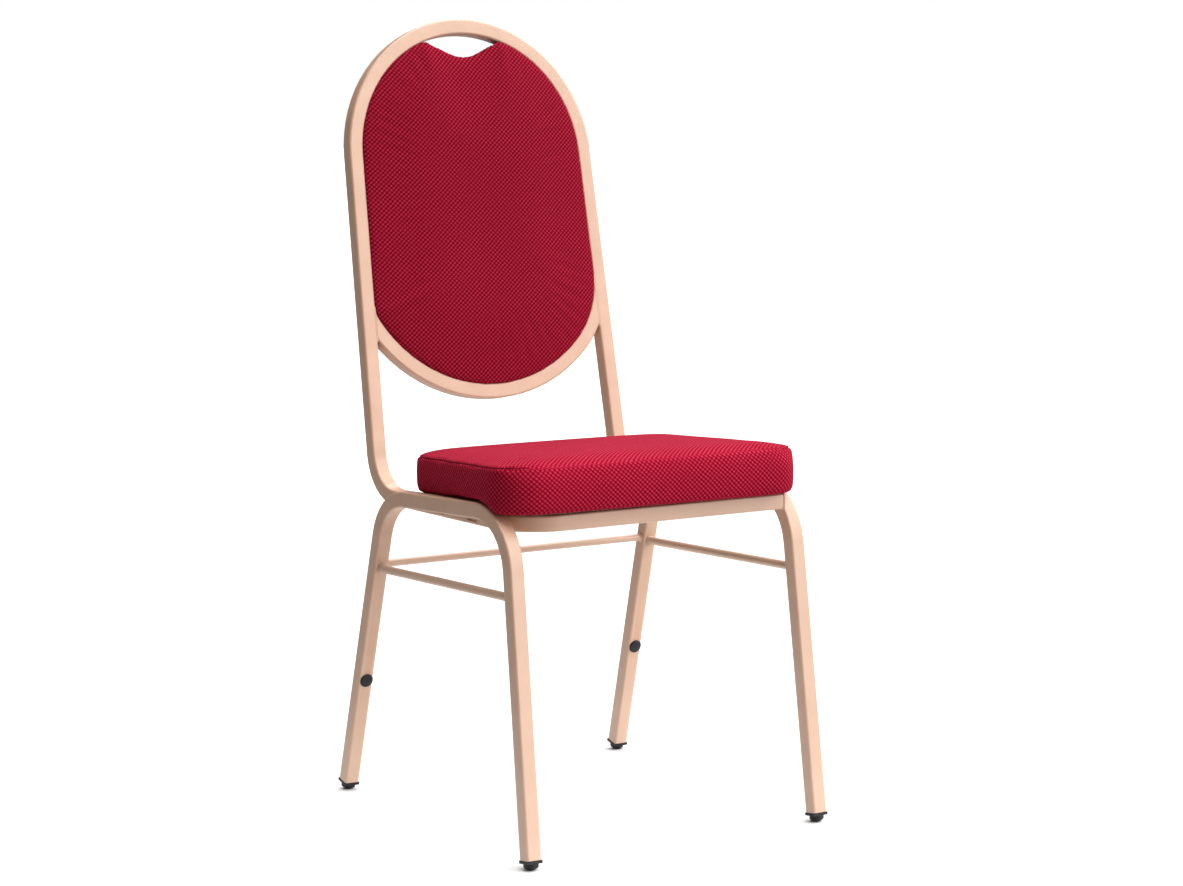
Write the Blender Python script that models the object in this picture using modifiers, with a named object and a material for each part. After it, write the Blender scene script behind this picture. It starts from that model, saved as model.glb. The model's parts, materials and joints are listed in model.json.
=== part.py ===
"""Stacking chair: a welded square-tube frame with a hoop back, an upholstered seat and a padded back.

Run with: blender --background --python part.py
Units are metres, +Z is up, the chair faces -Y, and the origin is on the floor at the middle of the footprint.
"""

import math

import bmesh
import bpy
from mathutils import Vector

# Tube
TUBE = 0.0185  # outer width of the square tube
TUBE_CORNER = 0.0028  # outer corner radius of that tube
GAP = 0.0003  # clearance kept between neighbouring pieces

# Leg frames: each is one bent tube in a plane that splays outwards towards the floor
FOOT_HALF_WIDTH = 0.1945  # centreline of a leg at the floor, from the middle plane
SPLAY = math.radians(0.86)
FRONT_FOOT_Y = -0.2488
REAR_FOOT_Y = 0.1843
FRONT_RAKE = math.radians(7.8)
REAR_RAKE = math.radians(14.8)
RAIL_HEIGHT = 0.3764  # top rail's centreline above y = 0
RAIL_PITCH = math.radians(3.3)
LEG_BEND = 0.068
LEG_END_HEIGHT = 0.0112  # where the tube stops above the floor

# Seat ring: the back tube's side rails and the front rail share one slightly pitched plane
RING_HALF_WIDTH = 0.1698
RING_FRONT_Y = -0.191
RING_FRONT_HEIGHT = 0.3723
RING_PITCH = math.radians(0.9)
RING_CORNER = 0.048
RING_JOINT = 0.085  # distance from the front rail's centreline to the butt joint in the left side rail
BACK_BEND = 0.055  # bend from the side rails up into the back

# Back: a round arch on two uprights, leaning backwards
BACK_LEAN = math.radians(11.0)
ARCH_Y = 0.2158
ARCH_HEIGHT = 0.7612
ARCH_RADIUS = 0.16075
LOWER_ARC_RADIUS = 0.1865
LOWER_ARC_DROP = 0.2893  # arch centre down to the lowest point of the lower arc
LOWER_BEND_LEFT = 0.030  # inner radius of the bend that runs the arc into the left upright
LOWER_BEND_RIGHT = 0.110  # the same on the right, where the bend is gentler

# Stretchers and cross bar
SIDE_ROD = 0.010
REAR_ROD = 0.009
SIDE_ROD_FRONT_HEIGHT = 0.2949
SIDE_ROD_REAR_HEIGHT = 0.2833
REAR_ROD_HEIGHT = 0.2872
CROSSBAR = 0.016
CROSSBAR_Y = 0.022

# Upholstery and its boards
BOARD_THICK = 0.009
SPACER_THICK = 0.0018
SPACER_HALF = 0.006
SPACER_SPOTS = (  # on the rounded left corner, the front rail's right end and the two side rails
    ("front_left", -0.1577, -0.1755), ("front_right", 0.163, RING_FRONT_Y),
    ("rear_left", -0.1635, 0.012), ("rear_right", 0.1635, 0.012),
)
SEAT_FRONT = -0.218
SEAT_REAR = 0.053
SEAT_HALF_FRONT = 0.2035
SEAT_HALF_REAR = 0.181
SEAT_CORNER = 0.045
SEAT_TOP_FRONT = 0.4375  # height of the seat's top at its front edge
SEAT_TOP_PITCH = math.radians(3.2)
SEAT_WRAP = 0.010  # cushion left around the seat board
BACK_BOARD_THICK = 0.008
PAD_PROUD = 0.008  # how far the front pad stands out of the tube's front face
PAD_INSET = 0.0006  # gap between the pads and the tube around them
REAR_PANEL_THICK = 0.0059
NOTCH_HALF_WIDTH = 0.0585
NOTCH_BOTTOM = 0.1210  # height of the notch's lowest point above the arch centre
NOTCH_SLOPE = 0.56
NOTCH_ROUND = 0.012

# Feet and bumpers
GLIDE_DOME_RADIUS = 0.0115
GLIDE_DOME_WIDTH = 0.017
GLIDE_FLAT = 0.0004  # the dome is cut off flat by this much where it meets the floor
GLIDE_FLANGE = 0.0189
GLIDE_FLANGE_THICK = 0.0034
GLIDE_STEM = 0.0130
GLIDE_STEM_LENGTH = 0.020
SOCKET = 0.0142  # square bore in the leg's end
BUMPER_HEIGHT = 0.1442
BUMPER_RADIUS = 0.0084
BUMPER_PROUD = 0.0034
BUMPER_STEM_RADIUS = 0.0030
BUMPER_STEM_LENGTH = 0.010

SEGMENTS_CORNER = 3
SEGMENTS_BEND = 8
SEGMENTS_ARCH = 36
SEGMENTS_LOW = 12
SEGMENTS_ROUND = 24

HALF = TUBE / 2
RING_X = RING_HALF_WIDTH
PARTS = "stacking_chair"


# ---------------------------------------------------------------- scene and materials

for old in list(bpy.data.objects):
    bpy.data.objects.remove(old, do_unlink=True)

parts = bpy.data.collections.new(PARTS)
helpers = bpy.data.collections.new("cutters_and_guides")
bpy.context.scene.collection.children.link(parts)
bpy.context.scene.collection.children.link(helpers)


def material(name, colour, roughness, metallic=0.0):
    made = bpy.data.materials.new(name)
    made.use_nodes = True
    shader = made.node_tree.nodes["Principled BSDF"]
    shader.inputs["Base Color"].default_value = (*colour, 1.0)
    shader.inputs["Roughness"].default_value = roughness
    shader.inputs["Metallic"].default_value = metallic
    made.diffuse_color = (*colour, 1.0)
    return made


CHAMPAGNE = material("champagne_powder_coat", (0.76, 0.56, 0.42), 0.38, 0.25)
CRIMSON = material("crimson_upholstery", (0.45, 0.015, 0.045), 0.85)
PLYWOOD = material("plywood", (0.58, 0.42, 0.26), 0.7)
BLACK_PLASTIC = material("black_plastic", (0.015, 0.015, 0.016), 0.45)
GREY_PLASTIC = material("grey_plastic", (0.22, 0.22, 0.23), 0.5)
BLACK_CLOTH = material("black_dust_cloth", (0.02, 0.02, 0.022), 0.9)
ZINC = material("zinc_plated_steel", (0.62, 0.63, 0.65), 0.3, 1.0)


# ---------------------------------------------------------------- small geometry helpers


def arc(centre, radius, start, end, steps):
    """Points on a circle from angle start to angle end, in radians."""
    angles = [start + (end - start) * i / steps for i in range(steps + 1)]
    return [(centre[0] + radius * math.cos(a), centre[1] + radius * math.sin(a)) for a in angles]


def filleted(corners, radius):
    """A flat path through corners, with each inner corner rounded to radius."""
    path = [corners[0]]
    for before, corner, after in zip(corners, corners[1:], corners[2:]):
        here = Vector(corner)
        back = (Vector(before) - here).normalized()
        ahead = (Vector(after) - here).normalized()
        half_angle = back.angle(ahead) / 2
        centre = here + (back + ahead).normalized() * radius / math.sin(half_angle)
        first = here + back * radius / math.tan(half_angle) - centre
        last = here + ahead * radius / math.tan(half_angle) - centre
        start = math.atan2(first.y, first.x)
        turn = math.remainder(math.atan2(last.y, last.x) - start, 2 * math.pi)
        path += arc(centre, radius, start, start + turn, SEGMENTS_BEND)
    return path + [corners[-1]]


def rounded_rectangle(width, height, corner):
    """Outline of a rectangle about the origin with rounded corners."""
    x = width / 2 - corner
    y = height / 2 - corner
    outline = []
    for i, centre in enumerate(((x, y), (-x, y), (-x, -y), (x, -y))):
        start = i * math.pi / 2
        outline += arc(centre, corner, start, start + math.pi / 2, SEGMENTS_CORNER)
    return outline


def curve_object(name, points, cyclic, dimensions):
    """A polyline curve object through points, each of two or three coordinates."""
    data = bpy.data.curves.new(name, "CURVE")
    data.dimensions = dimensions
    spline = data.splines.new("POLY")
    spline.points.add(len(points) - 1)
    for spot, point in zip(spline.points, points):
        spot.co = (*point, *([0.0] * (3 - len(point))), 1.0)
    spline.use_cyclic_u = cyclic
    made = bpy.data.objects.new(name, data)
    helpers.objects.link(made)
    return made


def place(piece, frame=None, location=(0, 0, 0), rotation=(0, 0, 0), order="XYZ"):
    piece.parent = frame
    piece.location = location
    piece.rotation_mode = order
    piece.rotation_euler = rotation


def as_mesh(curve, name, finish, collection=parts):
    """Replaces a curve by its closed mesh, which becomes a piece of the chair."""
    bpy.context.view_layer.update()
    evaluated = curve.evaluated_get(bpy.context.evaluated_depsgraph_get())
    data = bpy.data.meshes.new_from_object(evaluated)
    welded = bmesh.new()
    welded.from_mesh(data)
    bmesh.ops.remove_doubles(welded, verts=welded.verts, dist=1e-6)
    bmesh.ops.recalc_face_normals(welded, faces=welded.faces)
    welded.to_mesh(data)
    welded.free()
    made = bpy.data.objects.new(name, data)
    made.matrix_world = curve.matrix_world
    collection.objects.link(made)
    bpy.data.objects.remove(curve, do_unlink=True)
    dress(made, finish)
    return made


def dress(piece, finish, smooth_angle=35):
    piece.data.materials.clear()
    if finish is None:
        piece.hide_render = True
        piece.display_type = "WIRE"
    else:
        piece.data.materials.append(finish)
        piece.data.shade_smooth()
        piece.data.set_sharp_from_angle(angle=math.radians(smooth_angle))


def section(name, width, height, corner):
    """A closed outline that tubes are swept with."""
    made = curve_object(name, rounded_rectangle(width, height, corner), True, "2D")
    made.hide_render = True
    made.display_type = "WIRE"
    return made


def sweep(name, points, profile, finish, frame=None, dimensions="2D", collection=parts, **where):
    """A solid bar of the given section along a path, flat in its own plane unless dimensions is 3D."""
    curve = curve_object(name + "_path", points, False, dimensions)
    curve.data.bevel_mode = "OBJECT"
    curve.data.bevel_object = profile
    curve.data.use_fill_caps = True
    place(curve, frame, **where)
    return as_mesh(curve, name, finish, collection)


def plate(name, outline, bottom, top, finish, frame=None, collection=parts):
    """A flat outline in a frame's XY plane, filled from height bottom to height top."""
    curve = curve_object(name + "_outline", outline, True, "2D")
    curve.data.fill_mode = "BOTH"
    curve.data.extrude = (top - bottom) / 2
    place(curve, frame, (0, 0, (top + bottom) / 2))
    return as_mesh(curve, name, finish, collection)


def block(name, low, high, finish, frame=None, collection=parts):
    """A box between two corners of a frame."""
    data = bpy.data.meshes.new(name)
    shape = bmesh.new()
    bmesh.ops.create_cube(shape, size=1.0)
    size = Vector(high) - Vector(low)
    middle = (Vector(high) + Vector(low)) / 2
    bmesh.ops.scale(shape, vec=size, verts=shape.verts)
    bmesh.ops.translate(shape, vec=middle, verts=shape.verts)
    shape.to_mesh(data)
    shape.free()
    made = bpy.data.objects.new(name, data)
    collection.objects.link(made)
    place(made, frame)
    dress(made, finish)
    return made


def turned(name, profile, finish, frame=None, location=(0, 0, 0), rotation=(0, 0, 0), collection=parts):
    """A round solid about its own Z axis: profile lists radius and height, from the top down."""
    data = bpy.data.meshes.new(name)
    data.from_pydata([(radius, 0, height) for radius, height in profile],
                     [(i, i + 1) for i in range(len(profile) - 1)], [])
    made = bpy.data.objects.new(name, data)
    collection.objects.link(made)
    place(made, frame, location, rotation)
    screw = made.modifiers.new("turn", "SCREW")
    screw.steps = SEGMENTS_ROUND
    screw.render_steps = SEGMENTS_ROUND
    screw.use_merge_vertices = True
    screw.merge_threshold = 0.00001
    screw.use_smooth_shade = True
    dress(made, finish)
    return made


def boolean(piece, other, operation="DIFFERENCE"):
    change = piece.modifiers.new(operation.lower(), "BOOLEAN")
    change.operation = operation
    change.object = other
    change.solver = "EXACT"


def guide_frame(name, location, rotation, order="XYZ", parent=None):
    """An empty that pieces are placed in."""
    made = bpy.data.objects.new(name, None)
    helpers.objects.link(made)
    place(made, parent, location, rotation, order)
    return made


def cylinder(radius, top, bottom):
    return [(0, top), (radius, top), (radius, bottom), (0, bottom)]


TUBE_SECTION = section("tube_section", TUBE, TUBE, TUBE_CORNER)
SIDES = (("left", -1), ("right", 1))


# ---------------------------------------------------------------- leg frames

RAIL_DROP = math.tan(RAIL_PITCH)
FRONT_RUN = math.tan(FRONT_RAKE)
REAR_RUN = math.tan(REAR_RAKE)


def front_leg_y(height):
    return FRONT_FOOT_Y + FRONT_RUN * height


def rear_leg_y(height):
    return REAR_FOOT_Y - REAR_RUN * height


def leg_x(side, height):
    return side * (FOOT_HALF_WIDTH - math.tan(SPLAY) * height)


def leg_path():
    """The leg frame's centreline in its own plane: across is towards the rear, up is up the leg."""
    front_corner = (RAIL_HEIGHT - RAIL_DROP * FRONT_FOOT_Y) / (1 + RAIL_DROP * FRONT_RUN)
    rear_corner = (RAIL_HEIGHT - RAIL_DROP * REAR_FOOT_Y) / (1 - RAIL_DROP * REAR_RUN)
    corners = [
        (front_leg_y(LEG_END_HEIGHT), LEG_END_HEIGHT),
        (front_leg_y(front_corner), front_corner),
        (rear_leg_y(rear_corner), rear_corner),
        (rear_leg_y(LEG_END_HEIGHT), LEG_END_HEIGHT),
    ]
    return filleted(corners, LEG_BEND)


def leg_plane(side):
    name = "leg_plane_left" if side < 0 else "leg_plane_right"
    return guide_frame(name, (side * FOOT_HALF_WIDTH, 0, 0),
                       (math.pi / 2, -side * SPLAY, math.pi / 2), "XZY")


def foot_frames(side_name, side):
    """Frames at the floor end of each leg's centreline, with Z up along the leg."""
    for end, y, rake in (("front", front_leg_y(LEG_END_HEIGHT), -FRONT_RAKE),
                         ("rear", rear_leg_y(LEG_END_HEIGHT), REAR_RAKE)):
        spot = (leg_x(side, LEG_END_HEIGHT), y, LEG_END_HEIGHT)
        yield end, guide_frame(f"foot_frame_{end}_{side_name}", spot, (rake, -side * SPLAY, 0))


def glide(name, foot):
    """Push-in foot: a square stem, a flange and a short dome with a flat spot on the floor."""
    stem = GLIDE_STEM / 2
    flange = GLIDE_FLANGE / 2
    top = -GAP
    bottom = top - GLIDE_FLANGE_THICK
    made = block(name, (-flange, -flange, bottom), (flange, flange, top), BLACK_PLASTIC, foot)
    peg = block(name + "_stem", (-stem, -stem, bottom / 2), (stem, stem, GLIDE_STEM_LENGTH),
                None, foot, helpers)
    boolean(made, peg, "UNION")
    dome = turned(name + "_dome", cylinder(GLIDE_DOME_WIDTH / 2, bottom / 2, -0.03),
                  None, foot, collection=helpers)
    bpy.context.view_layer.update()
    axis = foot.matrix_world.to_3x3() @ Vector((0, 0, 1))
    spot = foot.matrix_world.translation
    centre = spot - axis * (spot.z - GLIDE_DOME_RADIUS + GLIDE_FLAT) / axis.z
    ball = ball_on_floor(name + "_ball", centre)
    boolean(dome, ball, "INTERSECT")
    boolean(made, dome, "UNION")


def ball_on_floor(name, centre):
    """A ball with its underside cut off level with the floor."""
    shape = bmesh.new()
    bmesh.ops.create_uvsphere(shape, u_segments=SEGMENTS_ROUND, v_segments=16, radius=GLIDE_DOME_RADIUS)
    bmesh.ops.translate(shape, vec=centre, verts=shape.verts)
    cut = bmesh.ops.bisect_plane(shape, geom=shape.verts[:] + shape.edges[:] + shape.faces[:],
                                 plane_co=(0, 0, 0), plane_no=(0, 0, -1), clear_outer=True)
    rim = [edge for edge in cut["geom_cut"] if isinstance(edge, bmesh.types.BMEdge)]
    bmesh.ops.contextual_create(shape, geom=rim)
    data = bpy.data.meshes.new(name)
    shape.to_mesh(data)
    shape.free()
    made = bpy.data.objects.new(name, data)
    helpers.objects.link(made)
    dress(made, None)
    return made


def bumper(name, side, frame_piece):
    """A round button on the rear leg's front face, its stem pressed into a hole in the tube."""
    forward = Vector((0, -math.cos(REAR_RAKE), -math.sin(REAR_RAKE)))
    centre = Vector((leg_x(side, BUMPER_HEIGHT), rear_leg_y(BUMPER_HEIGHT), BUMPER_HEIGHT))
    # the button's own Z axis points out of the leg's front face
    spot = guide_frame(name + "_frame", centre + forward * HALF, (math.pi / 2 + REAR_RAKE, 0, 0))
    crown = BUMPER_PROUD * 0.35
    button = [
        (0, BUMPER_PROUD), (BUMPER_RADIUS * 0.55, BUMPER_PROUD - crown * 0.2),
        (BUMPER_RADIUS * 0.9, BUMPER_PROUD - crown), (BUMPER_RADIUS, BUMPER_PROUD - 2 * crown),
        (BUMPER_RADIUS, GAP), (BUMPER_STEM_RADIUS, GAP),
        (BUMPER_STEM_RADIUS, -BUMPER_STEM_LENGTH), (0, -BUMPER_STEM_LENGTH),
    ]
    turned(name, button, BLACK_PLASTIC, spot)
    hole = turned(name + "_hole", cylinder(BUMPER_STEM_RADIUS + GAP, 0.005, -BUMPER_STEM_LENGTH - GAP),
                  None, spot, collection=helpers)
    boolean(frame_piece, hole)


def build_legs():
    for side_name, side in SIDES:
        frame_piece = sweep(f"leg_frame_{side_name}", leg_path(), TUBE_SECTION, CHAMPAGNE, leg_plane(side))
        for end, foot in foot_frames(side_name, side):
            bore = block(f"socket_{end}_{side_name}", (-SOCKET / 2, -SOCKET / 2, -0.01),
                         (SOCKET / 2, SOCKET / 2, GLIDE_STEM_LENGTH + 0.002), None, foot, helpers)
            boolean(frame_piece, bore)
            glide(f"foot_glide_{end}_{side_name}", foot)
        bumper(f"stacking_bumper_{side_name}", side, frame_piece)


# ---------------------------------------------------------------- back tube and seat ring

RING_DROP = math.tan(RING_PITCH)
ring_frame = guide_frame("ring_frame", (0, RING_FRONT_Y, RING_FRONT_HEIGHT), (-RING_PITCH, 0, 0))
back_frame = guide_frame("back_frame", (0, ARCH_Y, ARCH_HEIGHT), (math.pi / 2 - BACK_LEAN, 0, 0))


def ring_height(y):
    return RING_FRONT_HEIGHT - RING_DROP * (y - RING_FRONT_Y)


def back_corner():
    """Where the side rail's centreline would meet the upright's, as (y, z)."""
    run = math.tan(BACK_LEAN)
    y = (ARCH_Y + run * (RING_FRONT_HEIGHT + RING_DROP * RING_FRONT_Y - ARCH_HEIGHT)) / (1 + run * RING_DROP)
    return y, ring_height(y)


def upright_tangent():
    """Angle round the arch at which the right-hand upright leaves it, and the length down to the bend."""
    y, z = back_corner()
    bend_angle = math.pi / 2 - BACK_LEAN + RING_PITCH
    up_to_bend_end = BACK_BEND * math.tan(bend_angle / 2)
    drop = (ARCH_HEIGHT - z) / math.cos(BACK_LEAN) - up_to_bend_end
    reach = math.hypot(RING_X, drop)
    return math.atan2(-drop, RING_X) + math.acos(ARCH_RADIUS / reach), drop


TAPER, UPRIGHT_DROP = upright_tangent()


def back_point(across, up, out=0.0):
    """A point given in the back's own plane, in world coordinates."""
    sine, cosine = math.sin(BACK_LEAN), math.cos(BACK_LEAN)
    return (across, ARCH_Y + up * sine - out * cosine, ARCH_HEIGHT + up * cosine + out * sine)


def side_profile(start_y):
    """Side rail, bend and upright of the back tube in the YZ plane, from the given y."""
    top = back_point(0, 0)
    return filleted([(start_y, ring_height(start_y)), back_corner(), (top[1], top[2])], BACK_BEND)[:-1]


def build_back_tube():
    """One tube: side rail, bend, upright, arch, and back down the other side."""
    left = [(-RING_X, y, z) for y, z in side_profile(RING_FRONT_Y + RING_JOINT + GAP)]
    right = [(RING_X, y, z) for y, z in reversed(side_profile(RING_FRONT_Y + HALF + GAP))]
    arch = [back_point(x, up) for x, up in arc((0, 0), ARCH_RADIUS, math.pi - TAPER, TAPER, SEGMENTS_ARCH)]
    return sweep("back_hoop", left + arch + right, TUBE_SECTION, CHAMPAGNE, dimensions="3D")


def build_front_rail():
    """Runs from a butt joint in the left side rail, round a corner, to the right leg frame's inner face."""
    reach = leg_x(1, RING_FRONT_HEIGHT + HALF) - HALF / math.cos(SPLAY) - 2 * GAP
    corners = [(-RING_X, RING_JOINT), (-RING_X, 0), (reach, 0)]
    return sweep("front_rail", filleted(corners, RING_CORNER), TUBE_SECTION, CHAMPAGNE, ring_frame)


def inner_upright_x(up):
    """Inner face of the right-hand upright, at a height in the back's plane."""
    inner = ARCH_RADIUS - HALF
    return (inner - up * math.sin(TAPER)) / math.cos(TAPER)


def lower_corner(inner, low_inner, bend):
    """Centre of the bend from the upright's inner line to the lower arc's, and the angle it starts at."""
    normal = Vector((math.cos(TAPER), math.sin(TAPER)))
    down = Vector((math.sin(TAPER), -math.cos(TAPER)))
    low_centre = Vector((0, LOWER_ARC_RADIUS - LOWER_ARC_DROP))
    start = normal * (inner - bend)
    offset = start - low_centre
    reach = low_inner - bend
    along = -offset.dot(down) + math.sqrt(offset.dot(down) ** 2 - offset.dot(offset) + reach * reach)
    centre = start + down * along
    return centre, math.atan2(centre.y - low_centre.y, centre.x)


def lower_arc_half(bend):
    """The lower arc's centreline from its lowest point, round its bend and into the right-hand upright."""
    centre, turn = lower_corner(ARCH_RADIUS - HALF, LOWER_ARC_RADIUS - HALF, bend)
    low_centre = (0, LOWER_ARC_RADIUS - LOWER_ARC_DROP)
    half = arc(low_centre, LOWER_ARC_RADIUS, -math.pi / 2, turn, SEGMENTS_LOW)
    return half + arc(centre, bend + HALF, turn, TAPER, SEGMENTS_BEND)[1:]


def build_lower_arc():
    """The arc under the back pad, its ends cut to fit the uprights."""
    left = [(-x, up) for x, up in lower_arc_half(LOWER_BEND_LEFT)]
    right = lower_arc_half(LOWER_BEND_RIGHT)
    made = sweep("lower_back_arc", left[::-1] + right[1:], TUBE_SECTION, CHAMPAGNE, back_frame)
    for side_name, side in SIDES:
        trim = block(f"arc_trim_{side_name}", (-GAP, -0.2, -0.02), (0.08, 0.15, 0.02),
                     None, back_frame, helpers)
        up = -LOWER_ARC_DROP / 2
        trim.location = (side * inner_upright_x(up), up, 0)
        trim.rotation_euler = (0, 0, TAPER) if side > 0 else (0, math.pi, -TAPER)
        boolean(made, trim)


def rod_section(name, diameter):
    made = curve_object(name, arc((0, 0), diameter / 2, 0, 2 * math.pi, SEGMENTS_ROUND)[:-1], True, "2D")
    made.hide_render = True
    made.display_type = "WIRE"
    return made


def build_stretchers():
    side_section = rod_section("side_rod_section", SIDE_ROD)
    rear_section = rod_section("rear_rod_section", REAR_ROD)
    front_clear = HALF / math.cos(FRONT_RAKE) + GAP + SIDE_ROD / 2 * FRONT_RUN
    rear_clear = HALF / math.cos(REAR_RAKE) + GAP + SIDE_ROD / 2 * REAR_RUN
    for side_name, side in SIDES:
        z1, z2 = SIDE_ROD_FRONT_HEIGHT, SIDE_ROD_REAR_HEIGHT
        ends = [(leg_x(side, z1), front_leg_y(z1) + front_clear, z1),
                (leg_x(side, z2), rear_leg_y(z2) - rear_clear, z2)]
        sweep(f"side_stretcher_{side_name}", ends, side_section, CHAMPAGNE, dimensions="3D")
    half = leg_x(1, REAR_ROD_HEIGHT) - HALF / math.cos(SPLAY) - GAP - REAR_ROD / 2 * math.tan(SPLAY)
    y = rear_leg_y(REAR_ROD_HEIGHT)
    sweep("rear_stretcher", [(-half, y, REAR_ROD_HEIGHT), (half, y, REAR_ROD_HEIGHT)],
          rear_section, CHAMPAGNE, dimensions="3D")


# ---------------------------------------------------------------- under the seat

TOP = HALF  # height of the ring's top face in its own frame
SPACER_TOP = TOP + GAP + SPACER_THICK
BOARD_BOTTOM = SPACER_TOP + GAP
BOARD_TOP = BOARD_BOTTOM + BOARD_THICK
TAB_THICK = 0.003
TAB_REACH = 0.022
TAB_HALF_LENGTH = 0.014
SEAT_SCREW_RADIUS = 0.003
SEAT_SCREW_HEAD = 0.006
RING_INNER = RING_X - HALF
CORNERS = [(f"{end}_{side_name}", side, y)
           for end, y in (("front", -0.125), ("rear", -0.010)) for side_name, side in SIDES]


def ring_y(y):
    """A world y turned into the ring frame's y."""
    return y - RING_FRONT_Y


def seat_outline(margin):
    """The seat's plan, a little wider at the front, drawn in by margin."""
    front = ring_y(SEAT_FRONT) + margin
    rear = ring_y(SEAT_REAR) - margin
    corners = [
        (0, front), (SEAT_HALF_FRONT - margin, front), (SEAT_HALF_REAR - margin, rear),
        (margin - SEAT_HALF_REAR, rear), (margin - SEAT_HALF_FRONT, front), (0, front),
    ]
    return filleted(corners, SEAT_CORNER - margin * 0.5)[:-1]


def build_seat_fixings(board):
    """Welded tabs inside the ring, with a screw up through each into the board."""
    for where, side, y in CORNERS:
        across = side * (RING_INNER - GAP)
        inner = side * (RING_INNER - GAP - TAB_REACH)
        middle = side * (RING_INNER - GAP - TAB_REACH * 0.55)
        bottom = TOP - TAB_THICK - GAP
        tab = block(f"seat_tab_{where}",
                    (min(across, inner), ring_y(y) - TAB_HALF_LENGTH, bottom),
                    (max(across, inner), ring_y(y) + TAB_HALF_LENGTH, TOP - GAP), CHAMPAGNE, ring_frame)
        screw = [
            (0, BOARD_TOP - 0.0022), (SEAT_SCREW_RADIUS, BOARD_TOP - 0.0022),
            (SEAT_SCREW_RADIUS, bottom - GAP), (SEAT_SCREW_HEAD, bottom - GAP),
            (SEAT_SCREW_HEAD, bottom - 0.0028), (SEAT_SCREW_HEAD * 0.7, bottom - 0.0042),
            (0, bottom - 0.0042),
        ]
        spot = (middle, ring_y(y), 0)
        turned(f"seat_screw_{where}", screw, ZINC, ring_frame, spot)
        hole = turned(f"seat_hole_{where}",
                      cylinder(SEAT_SCREW_RADIUS + GAP, BOARD_TOP - 0.0022 + GAP, bottom - 0.01),
                      None, ring_frame, spot, collection=helpers)
        boolean(tab, hole)
        boolean(board, hole)


def build_spacers():
    """Small plastic pads between the ring and the board."""
    for where, x, y in SPACER_SPOTS:
        block(f"seat_spacer_{where}", (x - SPACER_HALF, ring_y(y) - SPACER_HALF, TOP + GAP),
              (x + SPACER_HALF, ring_y(y) + SPACER_HALF, SPACER_TOP), GREY_PLASTIC, ring_frame)


def build_crossbar():
    half = CROSSBAR / 2
    profile = section("crossbar_section", CROSSBAR, CROSSBAR, TUBE_CORNER)
    y = ring_y(CROSSBAR_Y)
    reach = RING_INNER - GAP
    return sweep("rear_crossbar", [(-reach, y), (reach, y)], profile, CHAMPAGNE, ring_frame)


def build_seat():
    board = plate("seat_board", seat_outline(SEAT_WRAP + 0.012), BOARD_BOTTOM, BOARD_TOP, PLYWOOD, ring_frame)
    build_seat_fixings(board)
    cover = 0.128
    block("seat_dust_cover", (-cover, ring_y(-0.165), TOP + GAP),
          (cover, ring_y(CROSSBAR_Y) - CROSSBAR, TOP + GAP + 0.0010), BLACK_CLOTH, ring_frame)
    cushion = plate("seat_cushion", seat_outline(0), BOARD_BOTTOM, 0.09, CRIMSON, ring_frame)
    pocket = plate("seat_pocket", seat_outline(SEAT_WRAP + 0.012 - GAP * 2), 0, BOARD_TOP + GAP,
                   None, ring_frame, helpers)
    boolean(cushion, pocket)
    lid = block("seat_top_trim", (-0.3, -0.1, 0), (0.3, 0.5, 0.2), None, None, helpers)
    place(lid, None, (0, SEAT_FRONT, SEAT_TOP_FRONT), (-SEAT_TOP_PITCH, 0, 0))
    boolean(cushion, lid)
    clearance = section("rail_clearance_section", TUBE + 0.0024, 0.034, 0.003)
    for side_name, side in SIDES:
        plane = bpy.data.objects["leg_plane_" + side_name]
        room = sweep(f"rail_clearance_{side_name}", leg_path(), clearance, None, plane, collection=helpers)
        room.location += Vector((side * (0.034 - TUBE - 0.0024) / 2, 0, 0))
        boolean(cushion, room)


# ---------------------------------------------------------------- back upholstery

BOARD_REAR = -0.0030
PAD_REAR = BOARD_REAR + BACK_BOARD_THICK + GAP
BACK_TAB_THICK = 0.0025
BACK_SCREW_HEAD = 0.005
BACK_SCREW_RADIUS = 0.002
REAR_PANEL_FRONT = BOARD_REAR - 2 * GAP - BACK_TAB_THICK
BACK_TABS = [(f"{level}_{side_name}", side, up)
             for level, up in (("upper", -0.015), ("lower", -0.130)) for side_name, side in SIDES]


def back_outline():
    """The pads' outline, a little inside the opening: hand notch, arch, uprights and lower arc."""
    left = [(-x, up) for x, up in half_outline(LOWER_BEND_LEFT)]
    return half_outline(LOWER_BEND_RIGHT) + left[-2:0:-1]


def half_outline(bend):
    """The outline's right half, from the notch's lowest point to the lowest point of all."""
    radius = ARCH_RADIUS - HALF - PAD_INSET
    low_radius = LOWER_ARC_RADIUS - HALF - PAD_INSET
    low_centre = (0, LOWER_ARC_RADIUS - LOWER_ARC_DROP)
    tip = math.acos(NOTCH_HALF_WIDTH / radius)
    centre, turn = lower_corner(radius, low_radius, bend - PAD_INSET)
    steps = 8
    half = [notch_point(NOTCH_HALF_WIDTH * i / steps, radius) for i in range(steps)]
    half += arc((0, 0), radius, tip, TAPER, 18)
    half += arc(centre, bend - PAD_INSET, TAPER, turn, SEGMENTS_BEND)
    return half + arc(low_centre, low_radius, turn, -math.pi / 2, SEGMENTS_LOW)[1:]


def notch_point(x, radius):
    """A point on the notch's rounded V, kept under the arch."""
    up = NOTCH_BOTTOM + math.hypot(NOTCH_ROUND, NOTCH_SLOPE * x) - NOTCH_ROUND
    return x, min(up, math.sqrt(radius * radius - x * x) - GAP)


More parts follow.
